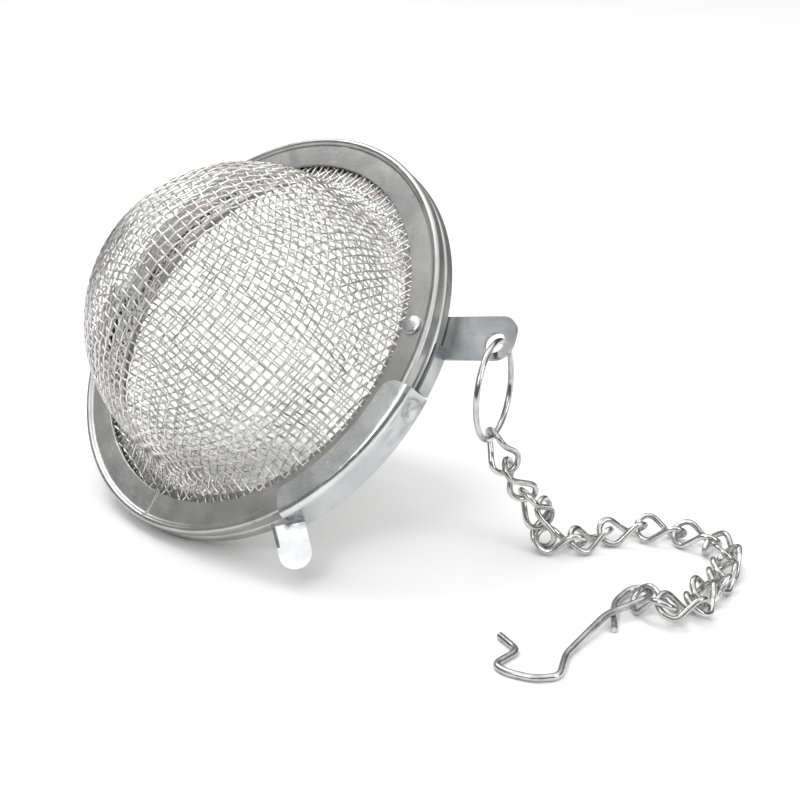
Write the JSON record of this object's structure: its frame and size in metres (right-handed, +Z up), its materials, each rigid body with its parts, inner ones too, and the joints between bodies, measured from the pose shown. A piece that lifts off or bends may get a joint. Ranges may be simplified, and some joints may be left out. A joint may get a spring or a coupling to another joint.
{
  "type": "mesh ball tea infuser",
  "caption": "Steel mesh ball tea infuser: two woven wire bowls that swivel open on one rivet, with a ring, a curb chain and a cup hook.",
  "frame": {"origin": "middle of the footprint on the surface it rests on, at Z = 0", "axes": "+X from the ball towards the far bend of the chain (the longest extent), +Y away from the front of the laid-out chain, +Z up"},
  "size_m": [0.0912, 0.0782, 0.0478],
  "materials": {
    "cloth": "bright drawn wire, woven",
    "rim": "rolled and polished sheet with fine scratches",
    "sheet": "satin sheet with shallow dents",
    "wire": "bright drawn wire"
  },
  "bodies": {
    "lower_bowl": {"lower_mesh": "cloth", "lower_rim": "rim", "side_clasp": "sheet", "far_clasp": "sheet", "lug": "sheet", "rivet": "rim"},
    "upper_bowl": {"upper_mesh": "cloth", "upper_rim": "rim"},
    "jump_ring": {"jump_ring": "wire"},
    "link_01": {"link_01": "wire"},
    "link_02": {"link_02": "wire"},
    "link_03": {"link_03": "wire"},
    "link_04": {"link_04": "wire"},
    "link_05": {"link_05": "wire"},
    "link_06": {"link_06": "wire"},
    "link_07": {"link_07": "wire"},
    "link_08": {"link_08": "wire"},
    "link_09": {"link_09": "wire"},
    "link_10": {"link_10": "wire"},
    "link_11": {"link_11": "wire"},
    "link_12": {"link_12": "wire"},
    "link_13": {"link_13": "wire"},
    "link_14": {"link_14": "wire"},
    "link_15": {"link_15": "wire"},
    "link_16": {"link_16": "wire"},
    "cup_hook": {"cup_hook": "wire"}
  },
  "joints": [
    {"name": "bowl_swivel", "type": "hinge", "parent": "lower_bowl", "child": "upper_bowl", "pos_m": [0.00388, -0.00297, 0.02933], "axis": [0.5337, 0.5337, -0.6561], "range_deg": [0, 80]},
    {"name": "ring_hang", "type": "hinge", "parent": "lower_bowl", "child": "jump_ring", "pos_m": [0.01341, -0.00816, 0.02944], "axis": [0.4067, 0.9135, 0], "range_deg": [-20, 20]},
    {"name": "link_01_swing", "type": "hinge", "parent": "jump_ring", "child": "link_01", "pos_m": [0.01341, -0.00816, 0.01684], "axis": [0.4067, 0.9135, 0], "range_deg": [-30, 30]},
    {"name": "link_02_swing", "type": "hinge", "parent": "link_01", "child": "link_02", "pos_m": [0.01503, -0.00823, 0.0133], "axis": [-0.0983, -0.9824, -0.1587], "range_deg": [-25, 25]},
    {"name": "link_03_swing", "type": "hinge", "parent": "link_02", "child": "link_03", "pos_m": [0.01761, -0.00782, 0.00894], "axis": [0.4295, -0.9015, 0.0538], "range_deg": [-25, 20]},
    {"name": "link_04_swing", "type": "hinge", "parent": "link_03", "child": "link_04", "pos_m": [0.02069, -0.00668, 0.00346], "axis": [0.8447, 0.1644, 0.5094], "range_deg": [-25, 2]},
    {"name": "link_05_swing", "type": "hinge", "parent": "link_04", "child": "link_05", "pos_m": [0.01956, -0.00737, 0.0017], "axis": [-0.0743, -0.8354, -0.5446], "range_deg": [-25, 6]},
    {"name": "link_06_swing", "type": "hinge", "parent": "link_05", "child": "link_06", "pos_m": [0.02594, -0.00793, 0.0017], "axis": [-0.0648, -0.7285, 0.682], "range_deg": [-25, 25]},
    {"name": "link_07_swing", "type": "hinge", "parent": "link_06", "child": "link_07", "pos_m": [0.02826, -0.00547, 0.00158], "axis": [-0.223, 0.7561, 0.6153], "range_deg": [-25, 25]},
    {"name": "link_08_swing", "type": "hinge", "parent": "link_07", "child": "link_08", "pos_m": [0.03444, -0.00383, 0.00182], "axis": [0.1795, -0.7676, 0.6153], "range_deg": [-25, 25]},
    {"name": "link_09_swing", "type": "hinge", "parent": "link_08", "child": "link_09", "pos_m": [0.03832, -0.00481, 0.0016], "axis": [-0.4295, -0.6607, -0.6157], "range_deg": [-25, 25]},
    {"name": "link_10_swing", "type": "hinge", "parent": "link_09", "child": "link_10", "pos_m": [0.04368, -0.00829, 0.0016], "axis": [-0.4295, -0.6607, 0.6157], "range_deg": [-25, 25]},
    {"name": "link_11_swing", "type": "hinge", "parent": "link_10", "child": "link_11", "pos_m": [0.04409, -0.01318, 0.00184], "axis": [-0.7775, -0.1311, 0.6151], "range_deg": [-25, 25]},
    {"name": "link_12_swing", "type": "hinge", "parent": "link_11", "child": "link_12", "pos_m": [0.04324, -0.0141, 0.00145], "axis": [-0.7657, 0.2923, -0.5729], "range_deg": [-25, 25]},
    {"name": "link_13_swing", "type": "hinge", "parent": "link_12", "child": "link_13", "pos_m": [0.04076, -0.02, 0.00176], "axis": [-0.6832, 0.3222, 0.6553], "range_deg": [-25, 25]},
    {"name": "link_14_swing", "type": "hinge", "parent": "link_13", "child": "link_14", "pos_m": [0.03926, -0.0201, 0.00176], "axis": [0.6695, -0.2285, 0.7069], "range_deg": [-25, 25]},
    {"name": "link_15_swing", "type": "hinge", "parent": "link_14", "child": "link_15", "pos_m": [0.03848, -0.02454, 0.00178], "axis": [0.2866, -0.6246, 0.7265], "range_deg": [-18, 25]},
    {"name": "link_16_swing", "type": "hinge", "parent": "link_15", "child": "link_16", "pos_m": [0.03405, -0.02704, 0.00262], "axis": [-0.7338, -0.4006, 0.5487], "range_deg": [-2, 25]},
    {"name": "hook_swing", "type": "hinge", "parent": "link_16", "child": "cup_hook", "pos_m": [0.031, -0.02285, 0.0016], "axis": [-0.8295, -0.558, -0.0226], "range_deg": [-25, 25]}
  ]
}
